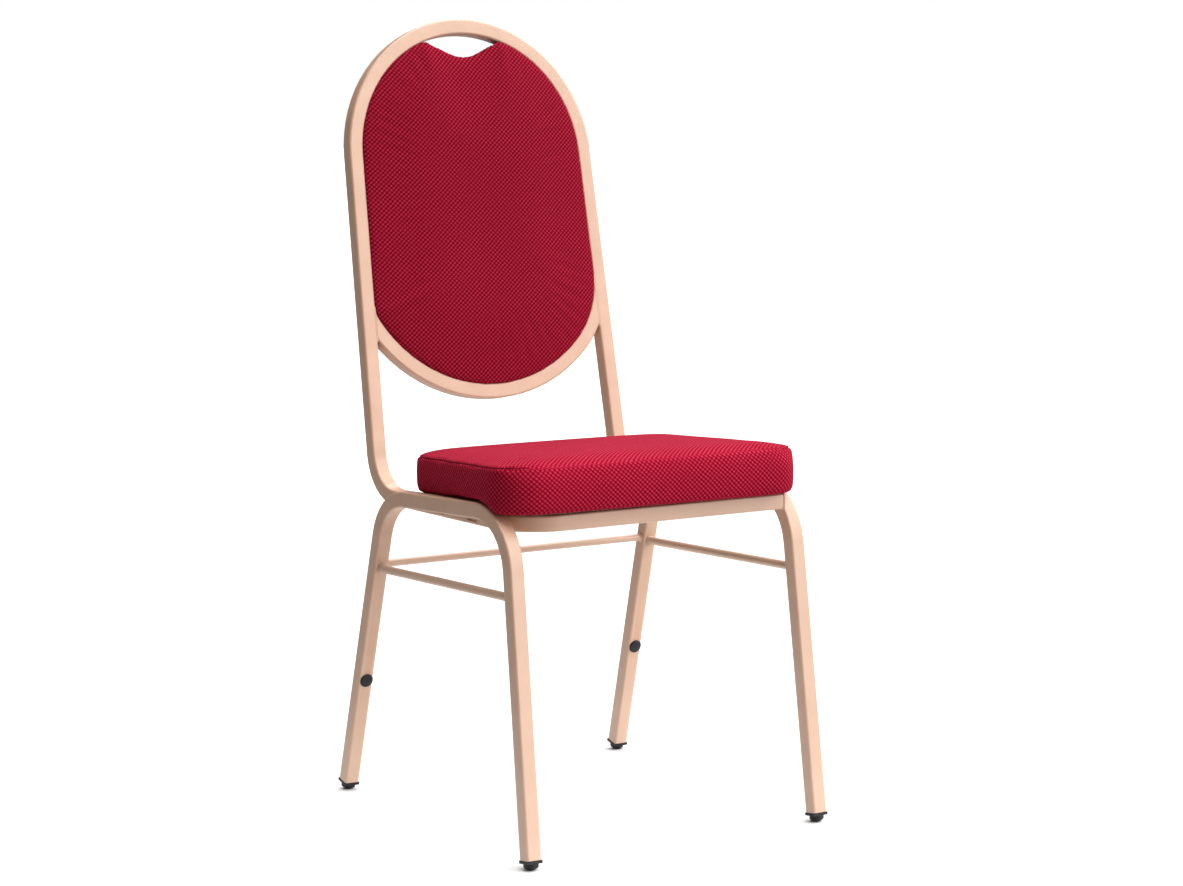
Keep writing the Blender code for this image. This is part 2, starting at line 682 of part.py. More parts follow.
def build_back_pads():
    outline = back_outline()
    board = plate("back_board", outline, BOARD_REAR, BOARD_REAR + BACK_BOARD_THICK, PLYWOOD, back_frame)
    plate("back_cushion", outline, PAD_REAR, HALF + PAD_PROUD, CRIMSON, back_frame)
    panel = plate("back_rear_panel", outline, REAR_PANEL_FRONT - REAR_PANEL_THICK,
                  REAR_PANEL_FRONT, CRIMSON, back_frame)
    for where, side, up in BACK_TABS:
        outer = side * (inner_upright_x(up) - 0.0012)
        inner = outer - side * 0.022
        tab_top = BOARD_REAR - GAP
        tab_rear = tab_top - BACK_TAB_THICK
        tab = block(f"back_tab_{where}", (min(outer, inner), up - 0.009, tab_rear),
                    (max(outer, inner), up + 0.009, tab_top), CHAMPAGNE, back_frame)
        spot = ((outer + inner) / 2, up, 0)
        screw = [
            (0, BOARD_REAR + 0.006), (BACK_SCREW_RADIUS, BOARD_REAR + 0.006),
            (BACK_SCREW_RADIUS, tab_rear - GAP), (BACK_SCREW_HEAD, tab_rear - GAP),
            (BACK_SCREW_HEAD, tab_rear - 0.0014), (BACK_SCREW_HEAD * 0.6, tab_rear - 0.0026),
            (0, tab_rear - 0.0026),
        ]
        turned(f"back_screw_{where}", screw, ZINC, back_frame, spot)
        hole = turned(f"back_hole_{where}",
                      cylinder(BACK_SCREW_RADIUS + GAP, BOARD_REAR + 0.006 + GAP, tab_rear - 0.01),
                      None, back_frame, spot, collection=helpers)
        pocket = turned(f"back_pocket_{where}", cylinder(BACK_SCREW_HEAD + 0.001, 0.01, tab_rear - 0.003),
                        None, back_frame, spot, collection=helpers)
        boolean(tab, hole)
        boolean(board, hole)
        boolean(panel, pocket)


build_legs()
build_back_tube()
build_front_rail()
build_lower_arc()
build_stretchers()
build_crossbar()
build_spacers()
build_seat()
build_back_pads()
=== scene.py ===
"""The stacking chair's looks: powder-coated tubes, woven upholstery, moulded plastic and small welds.

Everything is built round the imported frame, in metres, with +Z up and the chair facing -Y.
"""

import json
import math

import bmesh
import bpy
import numpy as np
from mathutils import Matrix, Vector


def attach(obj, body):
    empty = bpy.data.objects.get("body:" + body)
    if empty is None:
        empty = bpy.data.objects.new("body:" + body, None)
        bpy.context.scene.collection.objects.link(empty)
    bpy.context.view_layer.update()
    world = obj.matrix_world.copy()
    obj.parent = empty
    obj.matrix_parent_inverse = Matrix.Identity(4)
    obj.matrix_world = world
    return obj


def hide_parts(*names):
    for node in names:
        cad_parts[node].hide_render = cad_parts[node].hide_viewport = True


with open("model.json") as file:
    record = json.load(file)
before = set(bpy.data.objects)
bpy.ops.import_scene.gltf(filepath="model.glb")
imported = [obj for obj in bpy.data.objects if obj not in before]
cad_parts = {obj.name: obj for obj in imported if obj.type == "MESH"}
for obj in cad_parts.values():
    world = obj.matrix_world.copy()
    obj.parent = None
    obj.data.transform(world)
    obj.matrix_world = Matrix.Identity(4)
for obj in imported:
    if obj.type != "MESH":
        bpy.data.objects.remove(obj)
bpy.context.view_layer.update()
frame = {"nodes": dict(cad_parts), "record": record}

NODES = frame["nodes"]

# The back's own plane, as in the CAD: X to the right, Y up the back, Z out of its front
BACK_LEAN = math.radians(11.0)
ARCH_Y = 0.2158
ARCH_HEIGHT = 0.7612
UPRIGHT_TAPER = math.radians(1.45)
HALF = 0.00925  # half the square tube's width
BACK_PLANE = Matrix.Translation((0, ARCH_Y, ARCH_HEIGHT)) @ Matrix.Rotation(math.pi / 2 - BACK_LEAN, 4, "X")

# The plane of the cushion's top seam
SEAT_TOP_FRONT = Vector((0, -0.218, 0.4375))
SEAT_TOP_PITCH = math.radians(3.2)
SEAT_LIST = 0.0085  # the cushion sits this much lower to the right, as a slope

# Weave: a centred lattice of small diamonds, in repeats per metre
WEAVE_ACROSS = 165.0
WEAVE_ALONG = 185.0
FABRIC_TONES = (  # from the gaps between threads up to their crowns
    (0.10, (0.160, 0.0012, 0.0070)), (0.45, (0.270, 0.0040, 0.0185)),
    (0.72, (0.380, 0.0130, 0.0400)), (0.95, (0.500, 0.0400, 0.0800)),
)

# Meshes
SAME_POINT = 0.00002  # vertices of the faceted import closer than this are one
ON_PLANE = 0.0002  # a CAD vertex this close to a plane lies in it
AT_A_TIME = 4000  # points measured against a line together
TUBE_EDGE = math.radians(42)  # edges that turn by more than this stay sharp
OTHER_EDGE = math.radians(35)

# Third cloth coordinates, which keep the sides' and the welt's weave apart from the panels'
SIDE_CLOTH = 0.37
WELT_CLOTH = 0.2

# Cloth simulation
PRESSURE = 4.0
LAST_FRAME = 20
SEAT_VOXEL = 0.0042
PAD_VOXEL = 0.0027
SEAT_CAP = 0.0025  # no point of the seat's cover moves further than this
PAD_CAP = 0.0030

# Welds, by the radius of their beads
ROD_WELD = 0.0014
CROSSBAR_WELD = 0.0012
FRONT_RAIL_WELD = 0.0010
SIDE_RAIL_WELD = 0.0018
ARC_WELD = 0.0020
END_DEPTH = 0.001  # how much of a bar's end counts as its end face
RIPPLE_STEP = 2.4  # the ripple's turn from one point of a bead to the next
END_TAPER = 0.4  # an open bead's end, as a share of its radius

# Light
SKY_STRENGTH = 0.18


# ---------------------------------------------------------------- node materials

class Shader:
    """A material's node tree, built one node at a time."""

    def __init__(self, name, **sockets):
        self.material = bpy.data.materials.new(name)
        self.material.use_nodes = True
        self.nodes = self.material.node_tree.nodes
        self.links = self.material.node_tree.links
        self.surface = self.nodes["Principled BSDF"]
        for socket, value in sockets.items():
            self.surface.inputs[socket.replace("_", " ")].default_value = value

    def add(self, kind, inputs=(), **settings):
        node = self.nodes.new(kind)
        for name, value in settings.items():
            setattr(node, name, value)
        for key, value in dict(inputs).items():
            self.feed(value, node.inputs[key])
        return node

    def feed(self, value, socket):
        if isinstance(value, bpy.types.NodeSocket):
            self.links.new(value, socket)
        else:
            socket.default_value = value

    def math(self, operation, a, b=0.0, clamp=False):
        return self.add("ShaderNodeMath", {0: a, 1: b}, operation=operation, use_clamp=clamp).outputs[0]

    def noise(self, scale, detail=3.0, roughness=0.5, vector=None):
        inputs = {"Scale": scale, "Detail": detail, "Roughness": roughness}
        if vector is not None:
            inputs["Vector"] = vector
        return self.add("ShaderNodeTexNoise", inputs).outputs["Fac"]

    def place(self):
        return self.add("ShaderNodeTexCoord").outputs["Object"]

    def spread(self, value, low, high, from_low=0.0, from_high=1.0):
        return self.add("ShaderNodeMapRange", {"Value": value, "From Min": from_low, "From Max": from_high,
                                               "To Min": low, "To Max": high}).outputs[0]

    def ramp(self, value, *stops):
        node = self.add("ShaderNodeValToRGB", {"Fac": value})
        elements = node.color_ramp.elements
        while len(elements) < len(stops):
            elements.new(0.5)
        for element, (position, colour) in zip(elements, stops):
            element.position = position
            element.color = (*colour, 1.0)
        return node.outputs["Color"]

    def blend(self, factor, a, b):
        node = self.add("ShaderNodeMix", data_type="RGBA")
        for index, value in ((0, factor), (6, a), (7, b)):
            self.feed(value if not isinstance(value, tuple) else (*value, 1.0), node.inputs[index])
        return node.outputs[2]

    def bump(self, height, distance, strength=1.0):
        inputs = {"Height": height, "Distance": distance, "Strength": strength}
        return self.add("ShaderNodeBump", inputs).outputs[0]

    def finish(self, colour, roughness, normal=None):
        for name, value in (("Base Color", colour), ("Roughness", roughness), ("Normal", normal)):
            if value is not None:
                self.feed(value, self.surface.inputs[name])
        return self.material


def powder_coat():
    """Satin champagne powder coat: orange peel, faint mottling, lighter edges, and painted shade that darkens
    its narrow gaps.
    """
    s = Shader("champagne_powder_coat", Metallic=0.0, Specular_IOR_Level=0.75,
               Coat_Weight=0.35, Coat_Roughness=0.30)
    where = s.place()
    mottle = s.noise(26.0, 4.0, 0.55, where)
    fleck = s.noise(1600.0, 2.0, 0.5, where)
    base = s.ramp(mottle, (0.30, (0.584, 0.338, 0.216)), (0.50, (0.615, 0.362, 0.234)),
                  (0.70, (0.644, 0.388, 0.255)))
    flecked = s.blend(s.spread(fleck, 0.0, 0.30, 0.45, 0.75), base, (0.70, 0.48, 0.36))
    edge = s.add("ShaderNodeNewGeometry").outputs["Pointiness"]
    worn = s.blend(s.spread(edge, 0.0, 0.35, 0.52, 0.60), flecked, (0.74, 0.55, 0.43))
    # Painted shade: ambient occlusion darkens the coat towards brown in narrow gaps and where parts meet.
    painted_gap_shade = s.add("ShaderNodeAmbientOcclusion", {"Distance": 0.010}).outputs["AO"]
    shaded = s.blend(s.spread(painted_gap_shade, 0.75, 0.0, 0.05, 0.45), worn, (0.16, 0.085, 0.05))
    peel = s.noise(900.0, 2.0, 0.45, where)
    rough = s.spread(s.noise(60.0, 3.0, 0.6, where), 0.36, 0.48, 0.3, 0.7)
    return s.finish(shaded, rough, s.bump(peel, 0.00012, 0.35))


def black_plastic():
    """Moulded black plastic with a fine spark-eroded grain and scuffs."""
    s = Shader("black_plastic", Metallic=0.0, Specular_IOR_Level=0.35)
    where = s.place()
    scuff = s.noise(420.0, 5.0, 0.7, where)
    base = s.ramp(scuff, (0.35, (0.006, 0.006, 0.008)), (0.62, (0.012, 0.012, 0.015)),
                  (0.80, (0.040, 0.040, 0.044)))
    rough = s.spread(s.noise(150.0, 3.0, 0.6, where), 0.34, 0.58, 0.3, 0.7)
    return s.finish(base, rough, s.bump(s.noise(2600.0, 2.0, 0.5, where), 0.00008, 0.5))


def grey_plastic():
    s = Shader("grey_plastic", Metallic=0.0)
    where = s.place()
    base = s.ramp(s.noise(300.0, 4.0, 0.6, where), (0.35, (0.27, 0.27, 0.28)), (0.65, (0.37, 0.37, 0.375)))
    rough = s.spread(s.noise(500.0, 2.0, 0.5, where), 0.45, 0.65, 0.3, 0.7)
    return s.finish(base, rough, s.bump(s.noise(2400.0, 2.0, 0.5, where), 0.00006, 0.4))


def zinc_steel():
    """Zinc-plated steel with a fine crystalline bloom."""
    s = Shader("zinc_steel", Metallic=1.0)
    where = s.place()
    bloom = s.noise(900.0, 4.0, 0.65, where)
    base = s.ramp(bloom, (0.30, (0.50, 0.50, 0.47)), (0.55, (0.62, 0.62, 0.60)), (0.75, (0.70, 0.69, 0.63)))
    rough = s.spread(bloom, 0.28, 0.50, 0.3, 0.7)
    return s.finish(base, rough, s.bump(s.noise(3000.0, 2.0, 0.5, where), 0.00004, 0.4))


def plywood():
    """Birch plywood: stretched grain on the faces and dark glue lines on the edges."""
    s = Shader("plywood", Metallic=0.0)
    where = s.place()
    grain_space = s.add("ShaderNodeMapping", {"Vector": where, "Scale": (90.0, 6.0, 6.0)}).outputs[0]
    grain = s.noise(3.0, 6.0, 0.6, grain_space)
    face = s.ramp(grain, (0.30, (0.42, 0.27, 0.15)), (0.50, (0.56, 0.39, 0.23)), (0.70, (0.63, 0.46, 0.29)))
    height = s.add("ShaderNodeSeparateXYZ", {0: where}).outputs["Z"]
    ply = s.math("SINE", s.math("MULTIPLY", height, 2 * math.pi / 0.0018))
    edged = s.blend(s.spread(ply, 0.0, 0.45, 0.6, 1.0), face, (0.22, 0.13, 0.07))
    return s.finish(edged, s.spread(grain, 0.55, 0.75, 0.3, 0.7), s.bump(grain, 0.0002, 0.5))


def black_cloth():
    """Spun-bonded dust cover: felted fibres with a point-bond pattern."""
    s = Shader("black_cloth", Metallic=0.0, Sheen_Weight=0.2, Sheen_Roughness=0.5)
    where = s.place()
    fibre = s.noise(700.0, 6.0, 0.75, where)
    bonds = s.add("ShaderNodeTexVoronoi",
                  {"Vector": where, "Scale": 420.0, "Randomness": 0.15}).outputs["Distance"]
    base = s.ramp(fibre, (0.35, (0.010, 0.010, 0.011)), (0.70, (0.045, 0.045, 0.048)))
    height = s.math("ADD", fibre, s.spread(bonds, 0.0, 0.6, 0.0, 0.4))
    return s.finish(base, s.spread(fibre, 0.8, 0.95, 0.3, 0.7), s.bump(height, 0.0003, 0.6))


def woven_fabric(name, strength, laid=True):
    """Crimson contract weave: a diamond lattice whose one diagonal stands out, over fine crossing threads.

    It follows the cloth laid on a piece by lay_cloth, or the piece's own axes where laid is False.
    """
    s = Shader(name, Metallic=0.0, Sheen_Weight=0.20, Sheen_Roughness=0.22,
               Sheen_Tint=(1.0, 0.22, 0.34, 1.0), Specular_IOR_Level=0.03)
    cloth = s.place()
    if laid:
        laid_cloth = s.add("ShaderNodeAttribute", attribute_name="cloth", attribute_type="GEOMETRY")
        cloth = laid_cloth.outputs["Vector"]
    wander = s.add("ShaderNodeTexNoise", {"Vector": cloth, "Scale": 55.0, "Detail": 2.0}).outputs["Color"]
    drift = s.add("ShaderNodeVectorMath", {0: wander, 1: (0.5, 0.5, 0.5)}, operation="SUBTRACT").outputs[0]
    small = s.add("ShaderNodeVectorMath", {0: drift, "Scale": 0.0016}, operation="SCALE").outputs[0]
    axes = s.add("ShaderNodeSeparateXYZ", {0: s.add("ShaderNodeVectorMath", {0: cloth, 1: small}).outputs[0]})
    across = s.math("MULTIPLY", axes.outputs[0], 2 * math.pi * WEAVE_ACROSS)
    along = s.math("MULTIPLY", axes.outputs[1], 2 * math.pi * WEAVE_ALONG)
    strong = s.math("SINE", s.math("SUBTRACT", across, along))
    weak = s.math("SINE", s.math("ADD", across, along))
    lattice = s.math("ADD", s.math("MULTIPLY", strong, 0.30), s.math("MULTIPLY", weak, 0.20))
    threads = s.math("MULTIPLY", s.math("SINE", s.math("MULTIPLY", across, 6.0)),
                     s.math("SINE", s.math("MULTIPLY", along, 6.0)))
    fuzz = s.noise(1500.0, 4.0, 0.7, cloth)
    height = s.math("ADD", s.math("ADD", lattice, 0.5), s.math("MULTIPLY", threads, 0.05))
    value = s.math("ADD", height, s.spread(fuzz, -0.12, 0.12, 0.3, 0.7), clamp=True)
    # strength scales every tone. The back's darker copies below use it to paint shade on the same cloth as
    # the seat's.
    base = s.ramp(value, *((stop, tuple(c * strength for c in colour)) for stop, colour in FABRIC_TONES))
    fade = s.noise(9.0, 3.0, 0.5, cloth)
    shaded = s.blend(s.spread(fade, 0.0, 0.16, 0.35, 0.65), base, (0.230 * strength, 0.0035, 0.0150))
    return s.finish(shaded, s.spread(value, 0.95, 0.85), s.bump(value, 0.00055, 0.8))


MATERIALS = {
    "champagne_powder_coat": powder_coat(),
    "black_plastic": black_plastic(),
    "grey_plastic": grey_plastic(),
    "zinc_steel": zinc_steel(),
    "plywood": plywood(),
    "black_cloth": black_cloth(),
    "crimson_fabric": woven_fabric("crimson_fabric", strength=1.10),
}
# Painted shade: the back pad's cloth and the turned board cloth are the seat's cloth drawn darker, at 0.84
# against 1.10.
BACK_FABRIC_PAINTED_SHADE = woven_fabric("crimson_fabric_back_painted_shade", strength=0.84)
TURNED_FABRIC_PAINTED_SHADE = woven_fabric("crimson_fabric_turned_painted_shade", strength=0.84, laid=False)


# ---------------------------------------------------------------- the CAD nodes

def soften(piece, split_angle):
    """Welds the faceted import and weights its normals, so flats stay flat and turns run smooth."""
    piece.data.polygons.foreach_set("use_smooth", [True] * len(piece.data.polygons))
    piece.modifiers.new("Weld", "WELD").merge_threshold = SAME_POINT
    split = piece.modifiers.new("Edges", "EDGE_SPLIT")
    split.split_angle = split_angle
    split.use_edge_sharp = False
    piece.modifiers.new("Normals", "WEIGHTED_NORMAL").weight = 50


def finish_nodes():
    for part in frame["record"]["subparts"]:
        piece = NODES[part["node"]]
        slot = part["material_slot"]
        piece.data.materials.clear()
        piece.data.materials.append(MATERIALS[slot])
        soften(piece, TUBE_EDGE if slot == "champagne_powder_coat" else OTHER_EDGE)


def cover_back_board():
    """The back's cloth is turned over its board, so no bare edge shows in the hand hole."""
    board = NODES["back_board"]
    board.data.materials.clear()
    # The turned cloth is the darker copy of the seat's cloth, with painted shade.
    board.data.materials.append(TURNED_FABRIC_PAINTED_SHADE)


# ---------------------------------------------------------------- mesh helpers

def new_piece(name, mesh, slot):
    piece = bpy.data.objects.new(name, mesh)
    bpy.context.scene.collection.objects.link(piece)
    mesh.materials.clear()
    mesh.materials.append(MATERIALS[slot])
    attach(piece, "root")
    return piece


def read(items, name, width=None):
    """One property of every item as an array, of whole numbers or of rows of the given width."""
    values = np.zeros(len(items) * (width or 1), np.float32 if width else np.int32)
    items.foreach_get(name, values)
    return values.reshape(-1, width) if width else values


def positions(mesh):
    return read(mesh.vertices, "co", 3).astype(float)


def set_positions(mesh, points):
    mesh.vertices.foreach_set("co", points.astype(np.float32).ravel())
    mesh.update()


def into(plane, points):
    """World points in the plane's own coordinates."""
    inverse = np.array(plane.inverted())
    return points @ inverse[:3, :3].T + inverse[:3, 3]


def out_of(plane, points):
    """The plane's own points in world coordinates."""
    matrix = np.array(plane)
    return points @ matrix[:3, :3].T + matrix[:3, 3]


def resampled(corners, count):
    """A closed line as evenly spaced points."""
    ahead = np.roll(corners, -1, 0)
    lengths = np.linalg.norm(ahead - corners, axis=1)
    stations = np.concatenate([[0.0], np.cumsum(lengths)])
    wanted = np.arange(count) * stations[-1] / count
    closed = np.vstack([corners, corners[:1]])
    return np.stack([np.interp(wanted, stations, column) for column in closed.T], 1)


def ramped(values, low, high):
    """0 below low, 1 above high and smooth between; low may be the larger."""
    share = np.clip((values - low) / (high - low), 0, 1)
    return share * share * (3 - 2 * share)


def fading(distance, width):
    """1 at no distance, falling away over the width."""
    return np.exp(-distance / width)


def bell(distance, width):
    return np.exp(-(distance / width) ** 2)


def domed(inside, width):
    """0 at the rim, rising to a level 1 that begins a width inside it."""
    return 1 - (1 - np.clip(inside / width, 0, 1)) ** 2


def outline_of(points, count=160):
    """The star-shaped outline of flat points round their middle."""
    unique = np.unique(np.round(points, 5), axis=0)
    middle = (unique.min(0) + unique.max(0)) / 2
    around = np.arctan2(unique[:, 1] - middle[1], unique[:, 0] - middle[0])
    return resampled(unique[np.argsort(around)], count)


def to_outline(points, outline):
    """Each flat point's distance to the outline, how far round its nearest point is, and the way out."""
    ahead = np.roll(outline, -1, 0) - outline
    lengths = np.linalg.norm(ahead, axis=1)
    stations = np.concatenate([[0.0], np.cumsum(lengths)[:-1]])
    ways_out = np.stack([ahead[:, 1], -ahead[:, 0]], 1) / lengths[:, None]
    distances = np.zeros(len(points))
    rounds = np.zeros(len(points))
    outward = np.zeros((len(points), 2))
    for start in range(0, len(points), AT_A_TIME):
        some = slice(start, start + AT_A_TIME)
        offset = points[some][:, None, :] - outline[None]
        share = np.clip((offset * ahead).sum(-1) / lengths ** 2, 0, 1)
        gap = np.linalg.norm(offset - ahead * share[..., None], axis=-1)
        nearest = gap.argmin(1)
        rows = np.arange(len(nearest))
        distances[some] = gap[rows, nearest]
        rounds[some] = stations[nearest] + share[rows, nearest] * lengths[nearest]
        outward[some] = ways_out[nearest]
    return distances, rounds, outward


def applied(piece):
    """Applies the piece's modifiers and returns its new mesh."""
    bpy.context.view_layer.update()
    evaluated = piece.evaluated_get(bpy.context.evaluated_depsgraph_get())
    mesh = bpy.data.meshes.new_from_object(evaluated)
    piece.modifiers.clear()
    old = piece.data
    piece.data = mesh
    bpy.data.meshes.remove(old)
    return mesh


def remeshed(node, name, voxel):
    """A copy of a CAD soft solid as an even quad mesh."""
    piece = new_piece(name, NODES[node].data.copy(), "crimson_fabric")
    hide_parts(node)
    piece.modifiers.new("Weld", "WELD").merge_threshold = SAME_POINT
    remesh = piece.modifiers.new("Remesh", "REMESH")
    remesh.mode = "VOXEL"
    remesh.voxel_size = voxel
    applied(piece)
    return piece


def inflate(piece, held, cap):
    """Blows the cloth out between its held points, by cap at most."""
    before = positions(piece.data)
    group = piece.vertex_groups.new(name="held")
    for index, weight in enumerate(held):
        if weight > 0.01:
            group.add([index], float(weight), "REPLACE")
    cloth = piece.modifiers.new("Cloth", "CLOTH")
    settings = cloth.settings
    settings.use_pressure = True
    settings.uniform_pressure_force = PRESSURE
    settings.vertex_group_mass = "held"
    settings.effector_weights.gravity = 0.0
    settings.quality = 6
    settings.tension_stiffness = 18.0
    settings.compression_stiffness = 18.0
    settings.shear_stiffness = 8.0
    settings.bending_stiffness = 1.2
    scene = bpy.context.scene
    for step in range(1, LAST_FRAME + 1):
        scene.frame_set(step)
    mesh = applied(piece)
    scene.frame_set(1)
    piece.vertex_groups.clear()
    moved = positions(mesh) - before
    far = np.linalg.norm(moved, axis=1, keepdims=True)
    allowed = cap * np.tanh(far / cap)
    set_positions(mesh, before + moved * allowed / np.maximum(far, 1e-9))


def subdivided(piece):
    piece.modifiers.new("Finer", "SUBSURF").levels = 1
    mesh = applied(piece)
    mesh.polygons.foreach_set("use_smooth", [True] * len(mesh.polygons))
    return mesh


def smoothed(mesh, weight):
    work = bmesh.new()
    work.from_mesh(mesh)
    bmesh.ops.smooth_vert(work, verts=work.verts, factor=weight, use_axis_x=True, use_axis_y=True,
                          use_axis_z=True)
    work.to_mesh(mesh)
    work.free()


def lay_cloth(mesh, flat, side, outline, rise):
    """Stores where each face corner lies on its cloth: flat over the panels, round and up on the sides."""
    loops = read(mesh.loops, "vertex_index")
    totals = read(mesh.polygons, "loop_total")
    face_of_loop = np.repeat(np.arange(len(totals)), totals)
    rounds = to_outline(flat, outline)[1][loops]
    length = np.linalg.norm(np.roll(outline, -1, 0) - outline, axis=1).sum()
    first = rounds[np.concatenate([[0], np.cumsum(totals)[:-1]])][face_of_loop]
    rounds = first + (rounds - first + length / 2) % length - length / 2
    on_side = side[face_of_loop]
    across = np.where(on_side, rounds, flat[loops, 0])
    along = np.where(on_side, -rise[loops], flat[loops, 1])
    store_cloth(mesh, np.stack([across, along, np.where(on_side, SIDE_CLOTH, 0.0)], 1))


def store_cloth(mesh, values):
    attribute = mesh.attributes.new("cloth", "FLOAT_VECTOR", "CORNER")
    attribute.data.foreach_set("vector", values.astype(np.float32).ravel())


def face_values(mesh, values):
    """A per-vertex value averaged onto each face."""
    loops = read(mesh.loops, "vertex_index")
    totals = read(mesh.polygons, "loop_total")
    starts = np.concatenate([[0], np.cumsum(totals)[:-1]])
    return np.add.reduceat(values[loops], starts) / totals


def tube_along(name, points, radius, slot, closed=True, ripple=0.0, sides=8):
    """A fine tube through points, with an optional ripple along it."""
    count = len(points)
    mesh = bpy.data.meshes.new(name)
    work = bmesh.new()
    rings = []
    frame_up = None
    for i, point in enumerate(points):
        before = points[i - 1] if closed or i else points[i]
        after = points[(i + 1) % count] if closed or i < count - 1 else points[i]
        tangent = (Vector(after) - Vector(before)).normalized()
        if frame_up is None:
            frame_up = tangent.orthogonal().normalized()
        frame_up = (frame_up - tangent * frame_up.dot(tangent)).normalized()
        other = tangent.cross(frame_up)
        size = radius * (1 + ripple * math.sin(i * RIPPLE_STEP))
        if not closed and i in (0, count - 1):
            size *= END_TAPER
        rings.append([work.verts.new(Vector(point) + (frame_up * math.cos(a) + other * math.sin(a)) * size)
                      for a in (2 * math.pi * k / sides for k in range(sides))])
    for i in range(count if closed else count - 1):
        here, there = rings[i], rings[(i + 1) % count]
        turn = 0
        if closed and i == count - 1:
            turn = min(range(sides), key=lambda k: (here[0].co - there[k].co).length)
        for k in range(sides):
            work.faces.new((here[k], here[(k + 1) % sides],
                            there[(k + 1 + turn) % sides], there[(k + turn) % sides]))
    if not closed:
        work.faces.new(reversed(rings[0]))
        work.faces.new(rings[-1])
    bmesh.ops.recalc_face_normals(work, faces=work.faces)
    for face in work.faces:
        face.smooth = True
    work.to_mesh(mesh)
    work.free()
    return new_piece(name, mesh, slot)


# ---------------------------------------------------------------- seat cushion

def seat_plane_height(points):
    """Height above the pitched plane that the top seam lies in."""
    normal = np.array((0, math.sin(SEAT_TOP_PITCH), math.cos(SEAT_TOP_PITCH)))
    return (points - np.array(SEAT_TOP_FRONT)) @ normal


def make_seat_cushion():
    piece = remeshed("seat_cushion", "seat_cushion_cover", SEAT_VOXEL)
    mesh = piece.data
    source = positions(NODES["seat_cushion"].data)
    outline = outline_of(source[np.abs(seat_plane_height(source)) < ON_PLANE][:, :2])
    points = positions(mesh)
    inside, _, outward = to_outline(points[:, :2], outline)
    height = seat_plane_height(points)
    floor = points[:, 2].min()
    up = np.clip((points[:, 2] - floor) / (points[:, 2] - height - floor), 0, 1)
    soft = front_softness(points)
    corner = soft * ramped(np.abs(points[:, 0]), 0.135, 0.190)
    top = ramped(height, -0.012, 0.0)
    shoulder = 0.0050 * (1 - fading(inside, 0.010))
    crown = 0.0030 * domed(inside, 0.120)
    droop = (0.0030 * soft + 0.0030 * corner) * fading(inside, 0.008)
    under = ramped(up, 0.10, 0.0)
    hem = (0.0009 + 0.0013 * soft) * fading(inside, 0.004)
    hem += 0.0020 * ramped(points[:, 0], -0.10, -0.19) * soft
    points[:, 2] += top * (shoulder + crown - droop) + under * hem
    # The sides stand straight up to their seam and pull in at the hem; the front rolls over instead
    side = ramped(inside, 0.012, 0.0)
    bulge = np.sin(math.pi * up) * (0.0010 + 0.0012 * soft)
    tuck = (0.0014 + 0.0020 * soft) * ramped(up, 0.24, 0.0)
    roll = (0.0022 * soft + 0.0010 * corner) * ramped(up, 0.62, 1.0)
    points[:, :2] += outward * (side * (bulge - (tuck + roll) + 0.0005 * (1 - soft)))[:, None]
    set_positions(mesh, points)
    smoothed(mesh, 0.5)
    points = positions(mesh)
    inside = to_outline(points[:, :2], outline)[0]
    height = seat_plane_height(points)
    on_rim = bell(inside, 0.005) * bell(height, 0.005)
    low = ramped(points[:, 2], floor + 0.012, floor + 0.006)
    within = ramped(inside, 0.010, 0.016) * (height < -0.020)
    inflate(piece, np.maximum.reduce([on_rim, low, within]), SEAT_CAP)
    mesh = subdivided(piece)
    points = positions(mesh)
    points[:, 2] -= points[:, 0] * SEAT_LIST
    set_positions(mesh, points)
    seam_seat(piece, outline)


def front_softness(points):
    """1 over the front edge, where the cover rolls over with no seam, and 0 along the sewn sides and rear."""
    return ramped(points[:, 1], -0.188, -0.214)


def seam_line(piece, outline, lift=0.0):
    """Points on the cushion's surface along its top seam."""
    bpy.context.view_layer.update()
    line = []
    middle = (outline.min(0) + outline.max(0)) / 2
    for x, y in outline:
        z = SEAT_TOP_FRONT.z - (y - SEAT_TOP_FRONT.y) * math.tan(SEAT_TOP_PITCH) - x * SEAT_LIST
        away = Vector((x - middle[0], y - middle[1], 0)).normalized()
        hit, place, _, _ = piece.ray_cast(Vector((x, y, z)) + away * 0.03, -away)
        line.append(tuple((place if hit else Vector((x, y, z))) + away * lift))
    return np.array(line)


def seam_seat(piece, outline):
    """A sewn groove along the sides' top edges, with the cover's fine welt standing in it."""
    mesh = piece.data
    around = resampled(outline, 420)
    line = seam_line(piece, around)
    points = positions(mesh)
    close = np.full(len(points), 1.0)
    candidates = np.nonzero(np.abs(seat_plane_height(points)) < 0.012)[0]
    for start in range(0, len(candidates), AT_A_TIME):
        some = candidates[start:start + AT_A_TIME]
        close[some] = np.linalg.norm(points[some][:, None] - line[None], axis=-1).min(1)
    normals = read(mesh.vertices, "normal", 3)
    groove = 0.0012 * bell(close, 0.0022) * (1 - front_softness(points))
    set_positions(mesh, points - normals * groove[:, None])
    points = positions(mesh)
    facing = face_values(mesh, np.abs(normals[:, 2]))
    height = face_values(mesh, seat_plane_height(points))
    side = (height < 0.0) & ((facing < 0.7) | (height > -0.012))
    lay_cloth(mesh, points[:, :2], side, outline, points[:, 2])
    sewn = seam_line(piece, around, 0.0003)
    first = int(np.argmin(sewn[:, 1]))
    sewn = np.roll(sewn, -first, 0)
    sewn = sewn[sewn[:, 1] > -0.206]
    dress_welt(tube_along("seat_cushion_welt", sewn, 0.0010, "crimson_fabric", closed=False))


def dress_welt(welt):
    """Lays bias-cut cloth along a welt, with its weave drawn finer than on the panels."""
    mesh = welt.data
    points = positions(mesh)
    loops = read(mesh.loops, "vertex_index")
    along = (points[loops, 0] + points[loops, 1]) * 3
    store_cloth(mesh, np.stack([along, points[loops, 2] * 3, np.full(len(loops), WELT_CLOTH)], 1))


# ---------------------------------------------------------------- back pads

